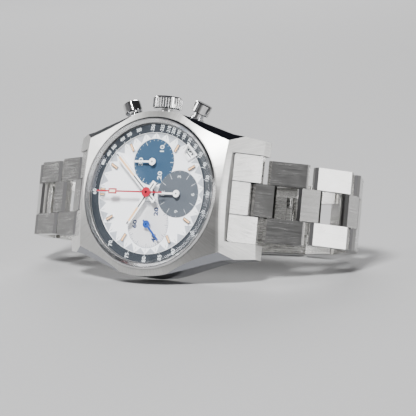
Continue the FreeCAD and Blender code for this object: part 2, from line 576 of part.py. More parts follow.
# ---- folding clasp ----
CLASP = (clasp_left_depth + clasp_right_depth) / 2     # depth of the clasp's end hinges
FOLD_X, BLADE_HALF_W, BLADE_END_X, COVER_HALF_W = 13.5, 5.0, 12.4, 8.0
KNUCKLE_R, FOLD_PIN_R, FOLD_HOLE_R, END_KNUCKLE_R = 0.75, 0.35, 0.42, 1.15
TONGUE_HALF_W, EAR_INNER_Z, COVER_EAR_Z = 2.5, 2.58, 4.6
INNER_TOP, INNER_BOTTOM = CLASP - 1.35, CLASP - 0.6
MIDDLE_TOP, MIDDLE_BOTTOM = CLASP - 0.35, CLASP + 0.45
COVER_TOP, COVER_OUTER = CLASP + 1.2, CLASP + 2.1
fold_in, fold_out = CLASP - 0.45, CLASP + 0.35


def ears(x, depth, outer_z):
    return [rod(KNUCKLE_R, x, depth, z0, z1) for z0, z1 in both_sides(EAR_INNER_Z, outer_z)]


def make_inner_blade():
    knuckle = rod(END_KNUCKLE_R, clasp_left_x, clasp_left_depth, -RUNG_HALF_W, RUNG_HALF_W)
    foot = box(clasp_left_x, clasp_left_x + 2.6, CLASP - 1.12, CLASP - 0.35, -RUNG_HALF_W, RUNG_HALF_W)
    body = box(clasp_left_x + 1.6, BLADE_END_X, INNER_TOP, INNER_BOTTOM, -BLADE_HALF_W, BLADE_HALF_W)
    window = box(-9, 8, CLASP - 2, CLASP, -2.2, 2.2)
    tongue = box(BLADE_END_X - 0.2, FOLD_X, CLASP - 1.2, INNER_BOTTOM, -TONGUE_HALF_W, TONGUE_HALF_W)
    fold_knuckle = rod(KNUCKLE_R, FOLD_X, fold_in, -TONGUE_HALF_W, TONGUE_HALF_W)
    blade = fuse_all([body.cut(window), foot, knuckle, tongue, fold_knuckle])
    return cut_all(blade, [rod(PIN_HOLE_R, clasp_left_x, clasp_left_depth, -9, 9),
                           rod(FOLD_HOLE_R, FOLD_X, fold_in, -9, 9)])


def make_middle_blade():
    body = box(-BLADE_END_X, BLADE_END_X, MIDDLE_TOP, MIDDLE_BOTTOM, -BLADE_HALF_W, BLADE_HALF_W)
    arms = [box(BLADE_END_X - 0.2, FOLD_X, MIDDLE_TOP, CLASP + 0.25, z0, z1)
            for z0, z1 in both_sides(EAR_INNER_Z, BLADE_HALF_W)]
    tongue = box(-FOLD_X, 0.2 - BLADE_END_X, MIDDLE_TOP, MIDDLE_BOTTOM, -TONGUE_HALF_W, TONGUE_HALF_W)
    fold_knuckle = rod(KNUCKLE_R, -FOLD_X, fold_out, -TONGUE_HALF_W, TONGUE_HALF_W)
    blade = fuse_all([body] + arms + ears(FOLD_X, fold_in, BLADE_HALF_W) + [tongue, fold_knuckle])
    blade = blade.cut(rod(FOLD_HOLE_R, -FOLD_X, fold_out, -TONGUE_HALF_W - 0.5, TONGUE_HALF_W + 0.5))
    return [blade.cut(rod(FOLD_PIN_R, FOLD_X, fold_in, -9, 9)),
            rod(FOLD_PIN_R, FOLD_X, fold_in, -BLADE_HALF_W, BLADE_HALF_W)]


def make_cover():
    """Outer shell with side walls, hangers for the middle blade and the lug of the last links."""
    left, right, edge = clasp_left_x + 1.6, clasp_right_x - 1.5, 0.35
    outline = [(left, COVER_TOP), (right, COVER_TOP), (right, COVER_OUTER - edge), (right - edge, COVER_OUTER),
               (left + edge, COVER_OUTER), (left, COVER_OUTER - edge)]
    shell = profile(outline, -COVER_HALF_W, COVER_HALF_W)
    long_edges = [e for e in shell.Edges
                  if e.BoundBox.YMax > at(COVER_OUTER) - 0.01 and e.BoundBox.XLength > 20]
    shell = shell.makeChamfer(0.3, long_edges)
    walls = [box(left + 1.2, right - 0.6, CLASP - 0.9, COVER_TOP, z0, z1)
             for z0, z1 in both_sides(COVER_HALF_W - 0.8, COVER_HALF_W)]
    hangers = [box(-FOLD_X - KNUCKLE_R, -FOLD_X + KNUCKLE_R, fold_out, COVER_TOP, z0, z1)
               for z0, z1 in both_sides(EAR_INNER_Z, COVER_EAR_Z)]
    lug = [box(right - 1.5, clasp_right_x, CLASP + 0.3, COVER_OUTER - 0.2, -RUNG_HALF_W, RUNG_HALF_W),
           rod(END_KNUCKLE_R, clasp_right_x, clasp_right_depth, -RUNG_HALF_W, RUNG_HALF_W)]
    cover = fuse_all([shell] + walls + hangers + ears(-FOLD_X, fold_out, COVER_EAR_Z) + lug)
    cover = cover.cut(rod(PIN_HOLE_R, clasp_right_x, clasp_right_depth, -9, 9))
    pin_reach = COVER_EAR_Z
    return [cover.cut(rod(FOLD_PIN_R, -FOLD_X, fold_out, -pin_reach - 0.1, pin_reach + 0.1)),
            rod(FOLD_PIN_R, -FOLD_X, fold_out, -pin_reach, pin_reach)]


add("clasp_inner_blade", make_inner_blade())
add("clasp_middle_blade", *make_middle_blade())
add("clasp_cover", *make_cover())

os.makedirs("parts", exist_ok=True)
for name, shape in nodes.items():
    shape.exportStep("parts/%s.step" % name)
print(len(nodes), "nodes")
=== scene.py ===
"""Chronograph wristwatch: finishes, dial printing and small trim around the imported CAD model."""
import json
import math

import bmesh
import bpy
from mathutils import Matrix, Vector


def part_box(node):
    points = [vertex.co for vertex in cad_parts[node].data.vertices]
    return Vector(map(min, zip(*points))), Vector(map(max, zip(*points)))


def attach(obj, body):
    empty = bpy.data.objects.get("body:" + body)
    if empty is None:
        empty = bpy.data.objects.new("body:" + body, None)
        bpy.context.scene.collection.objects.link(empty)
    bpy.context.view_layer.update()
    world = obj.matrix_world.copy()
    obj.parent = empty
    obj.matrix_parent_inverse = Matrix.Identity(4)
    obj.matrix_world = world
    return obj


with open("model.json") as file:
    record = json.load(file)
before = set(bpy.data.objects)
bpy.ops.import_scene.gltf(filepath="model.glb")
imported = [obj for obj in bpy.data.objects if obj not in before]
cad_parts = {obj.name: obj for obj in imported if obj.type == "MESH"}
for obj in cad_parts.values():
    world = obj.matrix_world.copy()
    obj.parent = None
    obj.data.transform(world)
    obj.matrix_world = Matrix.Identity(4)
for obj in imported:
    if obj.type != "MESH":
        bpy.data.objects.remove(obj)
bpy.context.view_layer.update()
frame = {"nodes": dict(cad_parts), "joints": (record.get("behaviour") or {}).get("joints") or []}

MM = 0.001
COUNTER_DISTANCE = 6.96     # millimetres from the dial's centre to each counter's centre
COUNTER_R = 5.22
END_SEAM_Z = 3.66           # seams between the three blocks of an end link
NOTCH_X, NOTCH_HALF_Z = 18.95, 9.82     # just inside the walls of the notches that hold the end links
FACET_X = 18.1              # crease between the case's top and its end facets
TRACK_R = 13.54             # inner edge of the tachymeter ring
DIAL_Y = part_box("tachymeter_ring")[1].y / MM          # face of the dial in the row frame, in mm
COUNTER_FLOOR_Y = DIAL_Y + 0.12
TRACK_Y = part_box("tachymeter_ring")[0].y / MM         # face of the tachymeter ring
MINUTE_ANGLE, HOUR_ANGLE, SECONDS_ANGLE, DATE_ANGLE = 43.6, -56.4, 226.0, 135.0
COUNTERS = {
    "minute": (0.0, COUNTER_DISTANCE),
    "hour": (COUNTER_DISTANCE, 0.0),
    "seconds": (0.0, -COUNTER_DISTANCE),
}
COUNTER_HANDS = {
    "minute": "minute_counter_hand",
    "hour": "hour_counter_hand",
    "seconds": "small_seconds_hand",
}


# ---------------------------------------------------------------- node helpers
SOCKETS = {
    "base": "Base Color", "metal": "Metallic", "rough": "Roughness", "normal": "Normal",
    "coat": "Coat Weight", "coat_rough": "Coat Roughness",
    "aniso": "Anisotropic", "tangent": "Tangent", "turn": "Anisotropic Rotation",
}


class Tree:
    """A material's node tree with short calls for nodes and links."""

    def __init__(self, name):
        self.material = bpy.data.materials.new(name)
        self.material.use_nodes = True
        self.tree = self.material.node_tree
        self.shader = self.tree.nodes["Principled BSDF"]

    def node(self, kind, **settings):
        made = self.tree.nodes.new(kind)
        for key, value in settings.items():
            setattr(made, key, value)
        return made

    def link(self, source, target):
        self.tree.links.new(source, target)

    def put(self, socket, value):
        if isinstance(value, bpy.types.NodeSocket):
            self.link(value, socket)
        elif value is not None:
            socket.default_value = value

    def math(self, operation, a, b=None):
        made = self.node("ShaderNodeMath", operation=operation)
        for socket, value in zip(made.inputs, (a, b)):
            self.put(socket, value)
        return made.outputs[0]

    def vector(self, operation, a, b=None):
        made = self.node("ShaderNodeVectorMath", operation=operation)
        self.put(made.inputs[0], a)
        self.put(made.inputs[1], b)
        return made.outputs[1] if operation in ("DOT_PRODUCT", "LENGTH") else made.outputs[0]

    def combine(self, x, y, z):
        made = self.node("ShaderNodeCombineXYZ")
        for socket, value in zip(made.inputs, (x, y, z)):
            self.put(socket, value)
        return made.outputs[0]

    def split(self, vector):
        made = self.node("ShaderNodeSeparateXYZ")
        self.link(vector, made.inputs[0])
        return made.outputs

    def place(self):
        return self.node("ShaderNodeTexCoord").outputs["Object"]

    def normal(self):
        return self.node("ShaderNodeTexCoord").outputs["Normal"]

    def noise(self, vector, scale, detail=3.0, roughness=0.55):
        made = self.node("ShaderNodeTexNoise")
        self.link(vector, made.inputs["Vector"])
        made.inputs["Scale"].default_value = scale
        made.inputs["Detail"].default_value = detail
        made.inputs["Roughness"].default_value = roughness
        return made.outputs["Fac"]

    def ramp(self, value, low, high, to_low=0.0, to_high=1.0):
        made = self.node("ShaderNodeMapRange")
        settings = {"Value": value, "From Min": low, "From Max": high, "To Min": to_low, "To Max": to_high}
        for name, setting in settings.items():
            self.put(made.inputs[name], setting)
        return made.outputs[0]

    def mix_color(self, share, a, b):
        made = self.node("ShaderNodeMix", data_type="RGBA")
        self.put(made.inputs[0], share)
        for socket, value in ((made.inputs[6], a), (made.inputs[7], b)):
            if isinstance(value, tuple):
                value = (*value[:3], 1.0)
            self.put(socket, value)
        return made.outputs[2]

    def gray(self, shade, tint):
        """The tint made lighter or darker by a shade that varies over the surface."""
        return self.vector("MULTIPLY", self.combine(shade, shade, shade), tint)

    def bump(self, height, distance, strength):
        made = self.node("ShaderNodeBump")
        self.link(height, made.inputs["Height"])
        made.inputs["Distance"].default_value = distance
        made.inputs["Strength"].default_value = strength
        return made.outputs[0]

    def set(self, **values):
        for key, value in values.items():
            if isinstance(value, tuple):
                value = (*value[:3], 1.0)
            self.put(self.shader.inputs[SOCKETS[key]], value)
        return self.material


STEEL = (0.66, 0.655, 0.64)
GRAIN_DEPTH = 0.004 * MM


def brush_lines(t, along_vector):
    """Grain height 0..1 from a vector whose X runs along the brushing."""
    stretched = t.vector("MULTIPLY", along_vector, (0.022, 1.0, 1.0))
    fine = t.noise(stretched, 14000.0, 2.0, 0.7)
    broad = t.noise(stretched, 4600.0, 3.0, 0.6)
    return t.math("ADD", t.math("MULTIPLY", fine, 0.45), t.math("MULTIPLY", broad, 0.55))


def steel_finish(t, grain, brushed, tint, rough, polished_tint=None, shadow=None):
    """Brushed steel where brushed is 1, polished steel where it is 0, and near-black in a shadow mask that
    holds painted shade and dark seams.
    """
    wear = t.noise(t.place(), 260.0, 4.0, 0.6)
    shade = t.ramp(grain, 0.36, 0.64, 0.84, 1.08)
    colour = t.gray(shade, tint)
    colour = t.mix_color(brushed, polished_tint or tuple(c * 1.12 for c in tint), colour)
    # painted shade: the colour goes towards near-black where the shadow mask is set
    if shadow is not None:
        colour = t.mix_color(shadow, colour, (0.03, 0.032, 0.036))
    uneven = t.ramp(wear, 0.3, 0.7, -0.03, 0.03)
    brushed_rough = t.math("ADD", t.ramp(grain, 0.3, 0.7, rough - 0.06, rough + 0.08), uneven)
    polished_rough = t.ramp(wear, 0.35, 0.75, 0.05, 0.13)
    rough_value = t.node("ShaderNodeMix", data_type="FLOAT")
    t.put(rough_value.inputs[0], brushed)
    t.link(polished_rough, rough_value.inputs[2])
    t.link(brushed_rough, rough_value.inputs[3])
    normal = t.bump(t.math("MULTIPLY", grain, brushed), GRAIN_DEPTH, 0.25)
    return t.set(base=colour, metal=1.0, rough=rough_value.outputs[0], normal=normal)


def straight_brushed(name, heading=0.0, polished_ends=True, tint=STEEL, rough=0.22, painted_shade_lightness=1.0):
    """Brushing along a direction this many degrees from +X towards +Y; bevels and ends are polished. The tint
    is scaled by a painted shade lightness.
    """
    t = Tree(name)
    turn = t.node("ShaderNodeVectorRotate", rotation_type="Z_AXIS")
    t.link(t.place(), turn.inputs["Vector"])
    turn.inputs["Angle"].default_value = -math.radians(heading)
    grain = brush_lines(t, turn.outputs[0])
    brushed = 1.0
    if polished_ends:
        a = math.radians(heading)
        outward = t.vector("DOT_PRODUCT", t.normal(), (math.sin(a), -math.cos(a), 0.0))
        brushed = t.ramp(t.math("ABSOLUTE", outward), 0.86, 0.94)
        side = t.ramp(t.math("ABSOLUTE", t.split(t.normal())[2]), 0.9, 0.95)
        brushed = t.math("MAXIMUM", brushed, t.math("MULTIPLY", side, 0.8))
    return steel_finish(t, grain, brushed, tuple(c * painted_shade_lightness for c in tint), rough)


def off_flanks(t, nz):
    """1 on faces that look forward or to the ends, 0 on the case's polished flanks."""
    return t.math("SUBTRACT", 1.0, t.ramp(t.math("ABSOLUTE", nz), 0.42, 0.5))


def end_link_finish():
    """The end links follow the case's sunray brushing; their seams are dark joints, their outer ends are
    painted near-black as shade, and their steel is given a lighter tint than the case as painted light.
    """
    t = Tree("end_link_steel")
    x, y, z = t.split(t.place())
    angle = t.math("ARCTAN2", x, z)
    radius = t.vector("LENGTH", t.combine(x, 0.0, z))
    grain = brush_lines(t, t.combine(radius, t.math("MULTIPLY", angle, 0.022), t.math("MULTIPLY", y, 0.05)))
    nz = t.split(t.normal())[2]
    from_seam = t.math("ABSOLUTE", t.math("SUBTRACT", t.math("ABSOLUTE", z), END_SEAM_Z * MM))
    seam = t.ramp(from_seam, 0.09 * MM, 0.12 * MM, 1.0, 0.0)
    # painted shade: the outer ends, which face along Z, go near-black
    side = t.ramp(t.math("ABSOLUTE", nz), 0.8, 0.9)
    dark = t.math("MAXIMUM", seam, side)
    # painted light: the end links' steel tint is lighter than the case top's
    return steel_finish(t, grain, off_flanks(t, nz), (0.86, 0.85, 0.83), 0.27, shadow=dark)


def case_finish():
    """Sunray brushing round the case axis on the top and end facets; bevels and flanks are polished."""
    t = Tree("case_steel_sunray")
    x, y, z = t.split(t.place())
    angle = t.math("ARCTAN2", x, z)
    radius = t.vector("LENGTH", t.combine(x, 0.0, z))
    # arc length at a mean radius keeps the grain's width even
    grain = brush_lines(t, t.combine(radius, t.math("MULTIPLY", angle, 0.018), t.math("MULTIPLY", y, 0.05)))
    _, ny, nz = t.split(t.normal())
    brushed = t.math("MAXIMUM", off_flanks(t, nz), t.ramp(ny, 0.2, 0.6))
    around = t.node("ShaderNodeTangent", direction_type="RADIAL", axis="Y")
    t.set(aniso=0.3, turn=0.25, tangent=around.outputs[0])
    from_middle = t.math("ABSOLUTE", x)
    # painted shadow: the steel in the notches that hold the end links is darkened 0.55 of the way to
    # near-black
    past_wall = t.math("GREATER_THAN", from_middle, NOTCH_X * MM)
    between_horns = t.math("LESS_THAN", t.math("ABSOLUTE", z), NOTCH_HALF_Z * MM)
    notch_painted_shadow = t.math("MULTIPLY", past_wall, t.math("MULTIPLY", between_horns, 0.55))
    # painted shade darkens the top in a fan towards 7 o'clock, and painted light makes the end facets lighter
    # than the top
    across = t.math("SUBTRACT", t.math("MULTIPLY", x, 0.85), t.math("MULTIPLY", z, 0.53))
    painted_shade_toward_seven = t.ramp(t.math("DIVIDE", across, radius), 0.72, 1.0, 0.0, 0.5)
    on_top = t.ramp(x, (FACET_X - 0.9) * MM, (FACET_X + 0.1) * MM, 1.0, 0.0)
    # painted light: the end facets are made half again lighter than the top
    facet = t.ramp(from_middle, (FACET_X - 0.2) * MM, (FACET_X + 0.2) * MM, 1.0, 1.5)
    shade = t.math("SUBTRACT", facet, t.math("MULTIPLY", painted_shade_toward_seven, on_top))
    tint = t.gray(shade, (0.58, 0.575, 0.56))
    # painted shade: the polished flanks get a dark bluish steel tint
    return steel_finish(t, grain, brushed, tint, 0.34, polished_tint=(0.38, 0.39, 0.42), shadow=notch_painted_shadow)


def polished(name, tint=(0.74, 0.74, 0.735), low=0.04, high=0.12):
    t = Tree(name)
    wear = t.noise(t.place(), 400.0, 5.0, 0.65)
    hair = t.noise(t.vector("MULTIPLY", t.place(), (1.0, 1.0, 0.08)), 6000.0, 2.0)
    shade = t.ramp(wear, 0.3, 0.8, 1.0, 0.93)
    colour = t.gray(shade, tint)
    rough = t.math("ADD", t.ramp(wear, 0.35, 0.75, low, high), t.ramp(hair, 0.6, 0.8, 0.0, 0.04))
    return t.set(base=colour, metal=1.0, rough=rough, normal=t.bump(hair, 0.0004 * MM, 0.4))


def enamel(name, colour, rough=0.32, grain=0.04, metal=0.0, coat=0.35, scale=1500.0):
    """Lacquer with a fine orange-peel and slight colour drift."""
    t = Tree(name)
    drift = t.noise(t.place(), scale, 4.0, 0.6)
    broad = t.noise(t.place(), scale / 12.0, 2.0, 0.5)
    share = t.math("MULTIPLY", t.math("ADD", drift, broad), 0.5)
    low = tuple(c * (1 - grain * 2) for c in colour)
    high = tuple(min(1.0, c * (1 + grain * 2)) for c in colour)
    base = t.mix_color(t.ramp(share, 0.3, 0.7), low, high)
    return t.set(base=base, metal=metal, rough=t.ramp(drift, 0.3, 0.7, rough - 0.06, rough + 0.06), coat=coat,
                 coat_rough=0.08, normal=t.bump(drift, 0.002 * MM, 0.35))


# ---------------------------------------------------------------- mesh helpers
def new_piece(name, mesh, material, body):
    made = bpy.data.objects.new(name, mesh)
    bpy.context.scene.collection.objects.link(made)
    mesh.materials.append(material)
    for face in mesh.polygons:
        face.use_smooth = False
    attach(made, body)


def polar(radius, angle):
    """(x, z) in mm on the dial, angle in degrees clockwise from 12 o'clock."""
    a = math.radians(angle)
    return -radius * math.cos(a), radius * math.sin(a)


def turned(points, angle, centre=(0.0, 0.0)):
    """Turns (x, z) points drawn at 12 o'clock clockwise, then shifts them to a centre."""
    cos, sin = math.cos(math.radians(angle)), math.sin(math.radians(angle))
    return [(x * cos + z * sin + centre[0], -x * sin + z * cos + centre[1]) for x, z in points]


class Print:
    """Flat printed or applied shapes on the dial, gathered into one mesh. Sizes are in mm."""

    def __init__(self):
        self.bm = bmesh.new()

    def vertex(self, x, y, z):
        return self.bm.verts.new((x * MM, y * MM, z * MM))

    def slab(self, outline, face_y, thickness, bevel=0.0):
        """A slab whose seen face is at face_y; its bevelled edge is inset by bevel."""
        count = len(outline)
        area = sum(a[0] * b[1] - b[0] * a[1] for a, b in zip(outline, outline[1:] + outline[:1]))
        if area > 0:
            outline = outline[::-1]
        cx = sum(p[0] for p in outline) / count
        cz = sum(p[1] for p in outline) / count

        def loop(y, inset):
            corners = []
            for x, z in outline:
                reach = math.hypot(x - cx, z - cz) or 1.0
                share = max(0.0, 1 - inset / reach)
                corners.append(self.vertex(cx + (x - cx) * share, y, cz + (z - cz) * share))
            return corners

        middle_y = face_y + (bevel or thickness * 0.5)
        rings = [loop(face_y, bevel), loop(middle_y, 0.0), loop(face_y + thickness, 0.0)]
        self.bm.faces.new(rings[0])
        self.bm.faces.new(rings[-1][::-1])
        for upper, lower in zip(rings, rings[1:]):
            for i in range(count):
                j = (i + 1) % count
                self.bm.faces.new((upper[j], upper[i], lower[i], lower[j]))

    def bar(self, radius0, radius1, width, angle, face_y, thickness, centre=(0.0, 0.0), bevel=0.0, tip=None):
        """A straight bar along a ray of the dial or of a counter, as wide as tip at its inner end."""
        tip = width if tip is None else tip
        outline = [(-radius0, -width / 2), (-radius0, width / 2), (-radius1, tip / 2), (-radius1, -tip / 2)]
        self.slab(turned(outline, angle, centre), face_y, thickness, bevel)

    def band(self, outer, inner, face_y, thickness, centre=(0.0, 0.0), start=0.0, end=360.0, step=3.0):
        """A flat ring or an arc of one."""
        whole = end - start >= 360.0
        count = max(2, int((end - start) / step))
        angles = [start + (end - start) * i / count for i in range(count if whole else count + 1)]
        rings = []
        back_y = face_y + thickness
        for radius, y in ((outer, face_y), (inner, face_y), (inner, back_y), (outer, back_y)):
            spots = [polar(radius, a) for a in angles]
            rings.append([self.vertex(x + centre[0], y, z + centre[1]) for x, z in spots])
        spans = len(angles) if whole else len(angles) - 1
        for a, b in zip(rings, rings[1:] + rings[:1]):
            for i in range(spans):
                j = (i + 1) % len(angles)
                self.bm.faces.new((a[i], a[j], b[j], b[i]))
        if not whole:
            self.bm.faces.new([r[0] for r in rings])
            self.bm.faces.new([r[-1] for r in rings][::-1])

    def disc(self, radius, face_y, thickness, centre=(0.0, 0.0), bevel=0.0, sides=96):
        turns = [2 * math.pi * i / sides for i in range(sides)]
        outline = [(radius * math.cos(a) + centre[0], radius * math.sin(a) + centre[1]) for a in turns]
        self.slab(outline, face_y, thickness, bevel)

    def text(self, words, size, spot, turn, face_y, thickness, stretch=1.0, weight=0.0):
        """Figures centred on spot. At turn 0 they read along +X with their tops towards +Z."""
        curve = bpy.data.curves.new("figures", "FONT")
        curve.body = words
        curve.size = size * MM
        curve.align_x = "CENTER"
        curve.align_y = "CENTER"
        curve.resolution_u = 3
        curve.offset = weight * MM
        curve.extrude = thickness / 2 * MM
        holder = bpy.data.objects.new("figures", curve)
        bpy.context.scene.collection.objects.link(holder)
        bpy.context.view_layer.update()
        mesh = bpy.data.meshes.new_from_object(holder.evaluated_get(bpy.context.evaluated_depsgraph_get()))
        bpy.data.objects.remove(holder)
        stand = Matrix.Rotation(math.radians(90), 4, "X") @ Matrix.Diagonal((stretch, 1.0, 1.0, 1.0))
        place = Matrix.Translation((spot[0] * MM, (face_y + thickness / 2) * MM, spot[1] * MM))
        mesh.transform(place @ Matrix.Rotation(math.radians(turn), 4, "Y") @ stand)
        self.bm.from_mesh(mesh)
        bpy.data.meshes.remove(mesh)

    def piece(self, name, material, body, slot):
        bmesh.ops.recalc_face_normals(self.bm, faces=self.bm.faces)
        mesh = bpy.data.meshes.new(name)
        self.bm.to_mesh(mesh)
        self.bm.free()
        new_piece(name, mesh, material, body)


# ---------------------------------------------------------------- finishes of the CAD pieces
def paint(node, material):
    made = frame["nodes"][node]
    for slot in made.material_slots:
        slot.material = material
    if not made.material_slots:
        made.data.materials.append(material)


LINK_END = 1.15             # from a link's pivot to its end
# painted shade: these bracelet pieces on the 6 o'clock side get darker steel to copy how the light falls on
# them there
LINKS_IN_PAINTED_SHADE = {
    "rung_6_1": 0.66, "outer_links_6_1": 0.70, "rung_6_2": 0.34, "outer_links_6_2": 0.62, "rung_6_3": 0.85,
}


def link_headings():
    """Heading of every bracelet piece, in degrees from +X towards +Y, from one hinge to the next."""
    hinges = [j for j in frame["joints"] if j["name"].startswith(("hinge_", "clasp_swing"))]
    spots = {hinge["child"]: Vector(hinge["pos_m"]) for hinge in hinges}
    clasp = spots["clasp_inner"]
    open_pivot = Vector((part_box("clasp_cover")[1].x - LINK_END * MM, clasp.y, 0))
    headings = {}
    for side, pairs in (("6", 5), ("12", 6)):
        chain = [f"{kind}_{side}_{i + 1}" for i in range(pairs) for kind in ("rung", "outer_links")]
        points = [spots[name] for name in chain]
        points.append(clasp if side == "12" else open_pivot)
        for name, a, b in zip(chain, points, points[1:]):
            headings[name] = math.degrees(math.atan2(b.y - a.y, b.x - a.x))
    return headings


def paint_links():
    for name, heading in link_headings().items():
        paint(name, straight_brushed(f"link_{name}", heading, painted_shade_lightness=LINKS_IN_PAINTED_SHADE.get(name, 1.0)))


# ---------------------------------------------------------------- dial
PRINT_T = 0.012             # thickness of the printed layers
TEETH, TOOTH_INNER_R, TOOTH_OUTER_R, TOOTH_HALF_ANGLE = 30, 11.75, 13.46, 5.3
UPRIGHT_FIGURES = {         # tachymeter figures that read across the dial, with their clockwise lean
    60: 0, 250: 8, 225: 10, 210: 14, 200: 16, 190: 18, 180: 20, 170: 24, 160: 30, 150: 30,
    140: 14, 130: 8, 120: 0, 110: -8, 100: -25, 90: -5, 85: 0, 80: 0, 75: 0, 70: 0,
}
ROUND_FIGURES = (800, 600, 500, 400, 350, 300)      # their tops point outward
GROOVE_PITCH = 0.11         # of the circles turned into the counters
MARKER_HOURS = (1, 2, 4, 5, 7, 8, 10, 11)
READS_ACROSS = -90.0        # turn of figures whose tops point to 12 o'clock
HOUR_OF_SECONDS = 21600.0   # degrees that the centre seconds hand turns in an hour


def dial_finish():
    """Silver-white lacquer over fine sunray lines; the applied bars stand above it in polished steel."""
    t = Tree("dial_silver")
    x, y, z = t.split(t.place())
    angle = t.math("ARCTAN2", x, z)
    rays = t.noise(t.combine(angle, 0.0, 0.0), 90.0, 4.0, 0.6)
    grain = t.noise(t.place(), 7000.0, 3.0, 0.6)
    base = t.mix_color(t.ramp(rays, 0.35, 0.65), (0.89, 0.915, 0.955), (0.95, 0.965, 0.985))
    height = t.math("ADD", t.math("MULTIPLY", rays, 0.6), t.math("MULTIPLY", grain, 0.4))
    raised = t.math("LESS_THAN", y, (DIAL_Y - 0.02) * MM)
    base = t.mix_color(raised, base, (0.42, 0.43, 0.45))
    metal = t.math("MAXIMUM", t.math("MULTIPLY", raised, 0.95), 0.1)
    rough = t.math("SUBTRACT", t.ramp(grain, 0.3, 0.7, 0.34, 0.44), t.math("MULTIPLY", raised, 0.26))
    return t.set(base=base, metal=metal, rough=rough, coat=0.25, coat_rough=0.12,
                 normal=t.bump(height, 0.002 * MM, 0.3))


def azure_finish(name, centre, colour):
    """Fine concentric grooves round a counter's centre, under satin lacquer."""
    t = Tree(name)
    x, _, z = t.split(t.place())
    off_x, off_z = t.math("SUBTRACT", x, centre[0] * MM), t.math("SUBTRACT", z, centre[1] * MM)
    radius = t.vector("LENGTH", t.combine(off_x, 0.0, off_z))
    wave = t.math("SINE", t.math("MULTIPLY", radius, 2 * math.pi / (GROOVE_PITCH * MM)))
    groove = t.math("ADD", t.math("MULTIPLY", wave, 0.5), 0.5)
    grain = t.noise(t.place(), 5000.0, 3.0, 0.6)
    low = tuple(c * 0.88 for c in colour)
    high = tuple(min(1.0, c * 1.1) for c in colour)
    share = t.math("ADD", t.math("MULTIPLY", groove, 0.55), t.math("MULTIPLY", grain, 0.45))
    rough = t.ramp(grain, 0.3, 0.7, 0.34, 0.46)
    return t.set(base=t.mix_color(share, low, high), metal=0.35, rough=rough, coat=0.15, coat_rough=0.15,
                 normal=t.bump(groove, 0.004 * MM, 0.5))


def off_date_window(angle, margin=7.5):
    return abs(angle - DATE_ANGLE) > margin


def tooth_tip(angle):
    """A tooth's point, drawn back where it would reach into a counter."""
    radius = TOOTH_INNER_R
    while any(math.dist(polar(radius, angle), centre) < COUNTER_R + 0.12 for centre in COUNTERS.values()):
        radius += 0.05
    return polar(radius, angle)


def minute_track():
    """Gray teeth round the dial's edge, and the fine lines of the seconds and their fifths over them."""
    tooth_gray = enamel("tooth_gray", (0.46, 0.49, 0.54), 0.4, 0.05, 0.3)
    line_gray = enamel("line_gray", (0.16, 0.18, 0.21), 0.45, 0.05)
    teeth = Print()
    for i in range(TEETH):
        a = 360.0 * i / TEETH
        edges = [a + TOOTH_HALF_ANGLE * s for s in (-1, -0.5, 0, 0.5, 1)]
        edges = [e for e in edges if off_date_window(e, 7.0)]
        if len(edges) > 2:
            teeth.slab([polar(TOOTH_OUTER_R, e) for e in edges] + [tooth_tip(a)], DIAL_Y - PRINT_T, PRINT_T)
    teeth.piece("track_teeth", tooth_gray, "case", "dial_silver")
    lines = Print()
    line_y = DIAL_Y - 2 * PRINT_T
    for second in range(60):
        a = 6.0 * second
        if second % 2 and off_date_window(a):
            lines.bar(12.95, 12.3, 0.10, a, line_y, PRINT_T, tip=0.05)
        for fifth in range(5):
            tick = a + 1.2 * fifth
            if off_date_window(tick):
                lines.bar(13.44, 13.2 if fifth else 12.95, 0.03, tick, line_y, PRINT_T)
    lines.piece("track_lines", line_gray, "case", "track_black")


def tachymeter_print():
    """The ring's white rim, its figures, and a short tick inside each one."""
    rim_white = enamel("rim_white", (0.83, 0.84, 0.85), 0.3, 0.03, 0.4)
    print_pale = enamel("print_pale", (0.72, 0.77, 0.80), 0.42, 0.04)
    rim = Print()
    rim.band(TRACK_R + 0.05, TRACK_R - 0.07, TRACK_Y - 0.015, DIAL_Y - TRACK_Y + 0.015)
    rim.piece("tachymeter_rim", rim_white, "case", "dial_silver")
    marks = Print()
    face = TRACK_Y - PRINT_T
    for number in (*UPRIGHT_FIGURES, *ROUND_FIGURES):
        a = HOUR_OF_SECONDS / number % 360.0
        turn = READS_ACROSS + UPRIGHT_FIGURES.get(number, a)
        size, stretch = 1.2, 0.8
        if number < 100:
            size, stretch = 1.3, 1.0
        elif number in ROUND_FIGURES:
            size, stretch = 1.05, 0.82
        marks.text(str(number), size, polar(14.72, a), turn, face, PRINT_T, stretch, 0.012)
        marks.bar(13.95, 13.66, 0.08, a, face, PRINT_T)
    marks.piece("tachymeter_figures", print_pale, "case", "white_lacquer")


COUNTER_PAINT = {           # colour of the floor, its height above the recess, and colour of the print
    "minute": ((0.034, 0.080, 0.145), 0.03, (0.70, 0.77, 0.82)),
    "seconds": ((0.80, 0.805, 0.83), 0.03, (0.016, 0.032, 0.10)),
    "hour": ((0.10, 0.116, 0.138), 0.05, (0.55, 0.59, 0.62)),
}
COUNTER_FIGURES = {         # words and their clock angles
    "minute": (("30", 0.0), ("10", 122.0), ("20", 238.0)),
    "seconds": (("60", 0.0), ("20", 122.0), ("40", 238.0)),
    "hour": (("3", 90.0), ("6", 180.0), ("9", 270.0), ("12", 0.0)),
}


def hour_counter_marks(marks, face, centre):
    for hour in range(12):
        if hour % 3:
            marks.bar(4.7, 3.75, 0.09, 30.0 * hour, face, PRINT_T, centre)
        marks.bar(5.12, 4.85, 0.06, 30.0 * hour, face, PRINT_T, centre)
        marks.bar(5.12, 4.95, 0.05, 30.0 * hour + 15.0, face, PRINT_T, centre)


